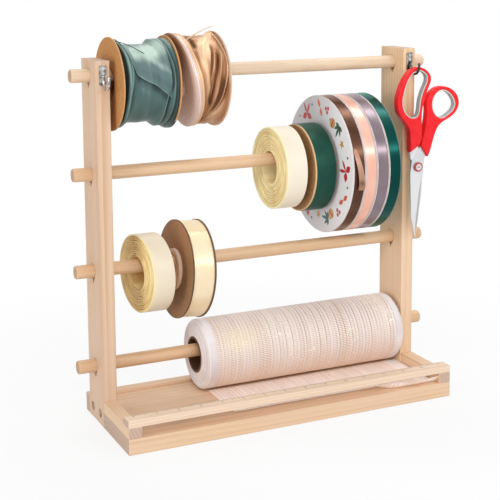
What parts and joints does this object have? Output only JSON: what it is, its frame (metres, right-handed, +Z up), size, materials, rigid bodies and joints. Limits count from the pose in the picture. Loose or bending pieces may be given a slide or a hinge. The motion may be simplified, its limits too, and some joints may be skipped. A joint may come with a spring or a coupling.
{
  "type": "ribbon spool dispenser",
  "caption": "Wooden tabletop rack with pull-out rods that carry ribbon spools and a deco mesh roll, a ruler strip over a cutting slot, and hung scissors.",
  "frame": {"origin": "centre of the rack's footprint, on the surface that it stands on", "axes": "+X to the right along the rods, +Y from the ruler strip to the back, +Z up"},
  "size_m": [0.4745, 0.1925, 0.4336],
  "materials": {
    "pine": "planed and sanded, clear finish",
    "screw_steel": "zinc plated",
    "hook_steel": "polished",
    "kraft_card": "plain kraft board",
    "teal_organza": "sheer, wired edge",
    "champagne_satin": "sheer satin, wired edge",
    "ivory_satin": "soft satin",
    "green_satin": "matte grosgrain",
    "cream_satin": "soft satin",
    "gold_satin": "glossy satin",
    "copper_satin": "glossy satin",
    "peach_satin": "glossy satin",
    "mauve_satin": "glossy satin",
    "teal_satin": "glossy satin",
    "spool_plastic": "moulded, pale",
    "printed_paper": "coated, printed",
    "deco_mesh": "open weave with metallic threads",
    "red_plastic": "moulded",
    "grey_rubber": "soft lining",
    "blade_steel": "ground"
  },
  "bodies": {
    "rack": {"base_board": "pine", "back_rail": "pine", "left_side_rail": "pine", "right_side_rail": "pine", "ruler_strip": "pine", "left_upright": "pine", "right_upright": "pine", "upright_screws": "screw_steel", "back_rail_screws": "screw_steel", "left_hook_plate": "hook_steel", "left_hook": "hook_steel", "right_hook_plate": "hook_steel", "right_hook": "hook_steel", "hook_screws": "hook_steel", "mesh_web": "deco_mesh"},
    "top_rod": {"top_rod": "pine"},
    "upper_rod": {"upper_rod": "pine"},
    "lower_rod": {"lower_rod": "pine"},
    "bottom_rod": {"bottom_rod": "pine"},
    "organza_spool": {"organza_core": "kraft_card", "organza_left_flange": "kraft_card", "organza_right_flange": "kraft_card", "organza_ribbon": "teal_organza"},
    "champagne_spool": {"champagne_core": "kraft_card", "champagne_left_flange": "kraft_card", "champagne_right_flange": "kraft_card", "champagne_ribbon": "champagne_satin"},
    "ivory_coil": {"ivory_coil": "ivory_satin"},
    "green_spool": {"green_core": "kraft_card", "green_left_flange": "kraft_card", "green_right_flange": "kraft_card", "green_ribbon": "green_satin"},
    "copper_spool": {"copper_spool": "spool_plastic", "copper_ribbon": "copper_satin", "printed_card": "printed_paper", "copper_tail": "copper_satin"},
    "peach_spool": {"peach_spool": "spool_plastic", "peach_ribbon": "peach_satin"},
    "mauve_spool": {"mauve_spool": "spool_plastic", "mauve_ribbon": "mauve_satin"},
    "teal_spool": {"teal_spool": "spool_plastic", "teal_ribbon": "teal_satin"},
    "cream_coil": {"cream_coil": "cream_satin"},
    "kraft_spool": {"kraft_core": "kraft_card", "kraft_left_flange": "kraft_card", "kraft_right_flange": "kraft_card", "kraft_ribbon": "gold_satin"},
    "mesh_spool": {"mesh_core": "kraft_card", "mesh_roll": "deco_mesh"},
    "scissors_left_half": {"scissors_left_handle": "red_plastic", "scissors_left_liner": "grey_rubber", "scissors_rear_blade": "blade_steel", "scissors_pivot_screw": "blade_steel", "scissors_pivot_ring": "red_plastic"},
    "scissors_right_half": {"scissors_right_handle": "red_plastic", "scissors_right_liner": "grey_rubber", "scissors_front_blade": "blade_steel"}
  },
  "joints": [
    {"name": "bottom_rod_slide", "type": "slide", "parent": "rack", "child": "bottom_rod", "axis": [1, 0, 0], "range_m": [-0.039, 0.035]},
    {"name": "lower_rod_slide", "type": "slide", "parent": "rack", "child": "lower_rod", "axis": [1, 0, 0], "range_m": [-0.039, 0.035]},
    {"name": "upper_rod_slide", "type": "slide", "parent": "rack", "child": "upper_rod", "axis": [1, 0, 0], "range_m": [-0.039, 0.035]},
    {"name": "top_rod_slide", "type": "slide", "parent": "rack", "child": "top_rod", "axis": [1, 0, 0], "range_m": [-0.039, 0.035]},
    {"name": "organza_spool_spin", "type": "hinge", "parent": "rack", "child": "organza_spool", "pos_m": [0, 0.03525, 0.3792], "axis": [1, 0, 0], "continuous": true},
    {"name": "champagne_spool_spin", "type": "hinge", "parent": "rack", "child": "champagne_spool", "pos_m": [0, 0.03525, 0.38], "axis": [1, 0, 0], "continuous": true},
    {"name": "ivory_coil_spin", "type": "hinge", "parent": "rack", "child": "ivory_coil", "pos_m": [0, 0.03525, 0.2712], "axis": [1, 0, 0], "continuous": true},
    {"name": "green_spool_spin", "type": "hinge", "parent": "rack", "child": "green_spool", "pos_m": [0, 0.03525, 0.2692], "axis": [1, 0, 0], "continuous": true},
    {"name": "copper_spool_spin", "type": "hinge", "parent": "rack", "child": "copper_spool", "pos_m": [0, 0.03525, 0.2712], "axis": [1, 0, 0], "continuous": true},
    {"name": "peach_spool_spin", "type": "hinge", "parent": "rack", "child": "peach_spool", "pos_m": [0, 0.03525, 0.2712], "axis": [1, 0, 0], "continuous": true},
    {"name": "mauve_spool_spin", "type": "hinge", "parent": "rack", "child": "mauve_spool", "pos_m": [0, 0.03525, 0.2712], "axis": [1, 0, 0], "continuous": true},
    {"name": "teal_spool_spin", "type": "hinge", "parent": "rack", "child": "teal_spool", "pos_m": [0, 0.03525, 0.2712], "axis": [1, 0, 0], "continuous": true},
    {"name": "cream_coil_spin", "type": "hinge", "parent": "rack", "child": "cream_coil", "pos_m": [0, 0.03525, 0.1639], "axis": [1, 0, 0], "continuous": true},
    {"name": "kraft_spool_spin", "type": "hinge", "parent": "rack", "child": "kraft_spool", "pos_m": [-0.0896, 0.03525, 0.16317], "axis": [0.9973, 0, -0.0732], "continuous": true},
    {"name": "mesh_spool_spin", "type": "hinge", "parent": "rack", "child": "mesh_spool", "pos_m": [0, 0.03525, 0.0593], "axis": [1, 0, 0], "continuous": true},
    {"name": "scissors_swing", "type": "hinge", "parent": "rack", "child": "scissors_left_half", "pos_m": [0.192, -0.00245, 0.37831], "axis": [0, -1, 0], "range_deg": [-10, 35]},
    {"name": "scissors_open", "type": "hinge", "parent": "scissors_left_half", "child": "scissors_right_half", "pos_m": [0.197, -0.00245, 0.2645], "axis": [0, 1, 0], "range_deg": [0, 28]}
  ]
}
